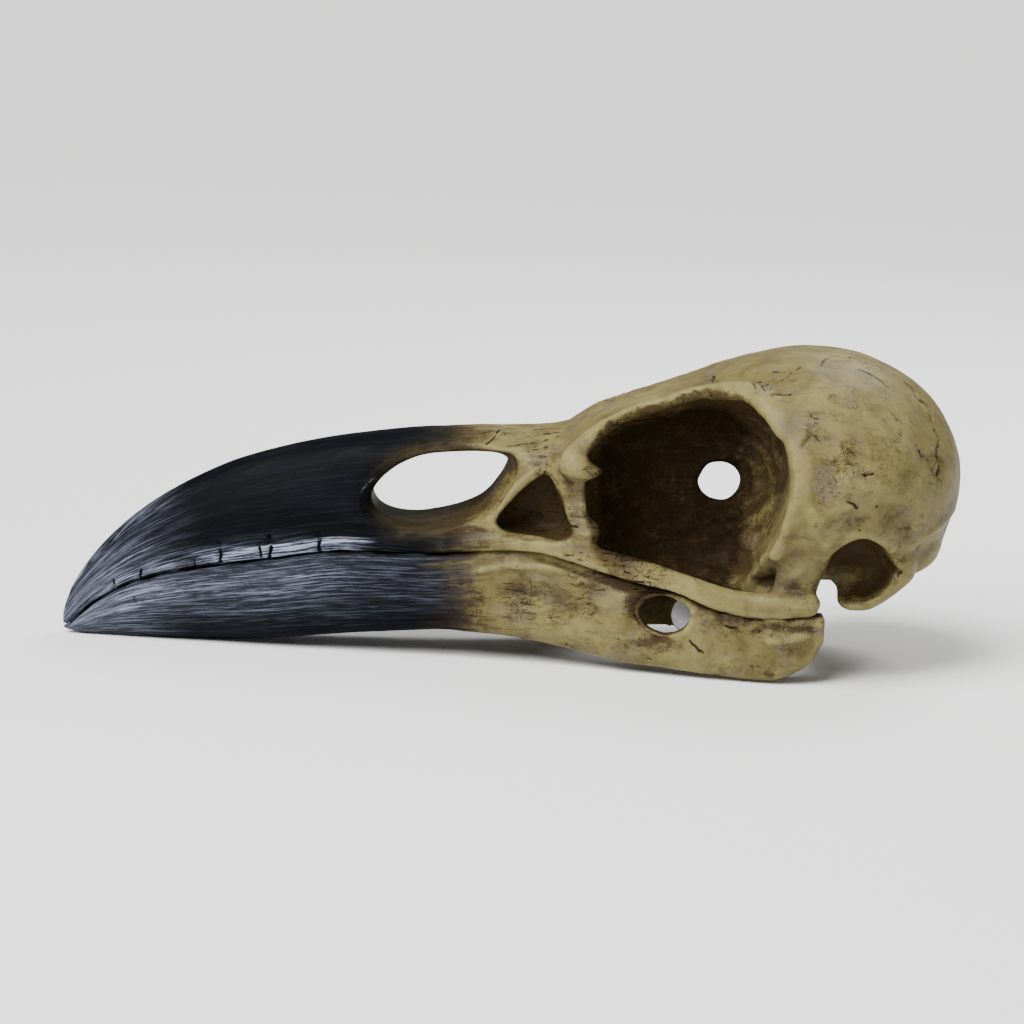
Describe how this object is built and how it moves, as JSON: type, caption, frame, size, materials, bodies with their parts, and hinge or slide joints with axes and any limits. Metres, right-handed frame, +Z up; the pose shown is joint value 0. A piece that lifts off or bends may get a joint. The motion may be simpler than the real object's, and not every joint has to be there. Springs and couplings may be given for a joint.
{
  "type": "painted resin crow skull",
  "caption": "Solid cast crow skull with a closed black bill, open nostrils, deep eye sockets and a bone-coloured braincase, made to lie on a shelf.",
  "frame": {"origin": "on the surface the skull rests on, under the middle of its bounding box", "axes": "-X towards the tip of the bill, +X towards the back of the braincase, -Y towards the animal's left side, +Z up"},
  "size_m": [0.2099, 0.0754, 0.0745],
  "materials": {
    "bone_paint": "satin olive-cream paint with a brown wash",
    "horn_paint": "satin black paint, dry-brushed blue-grey",
    "clear_plastic": "clear soft plastic"
  },
  "bodies": {
    "root": {"bill_upper": "horn_paint", "bill_lower": "horn_paint", "nasal_bridge": "bone_paint", "maxilla": "bone_paint", "face": "bone_paint", "forehead": "bone_paint", "septum": "bone_paint", "palate": "bone_paint", "braincase": "bone_paint", "cheek_bar_left": "bone_paint", "cheek_bar_right": "bone_paint", "quadrate_left": "bone_paint", "quadrate_right": "bone_paint", "jaw_left": "bone_paint", "jaw_right": "bone_paint", "clear_pad": "clear_plastic"}
  },
  "joints": []
}
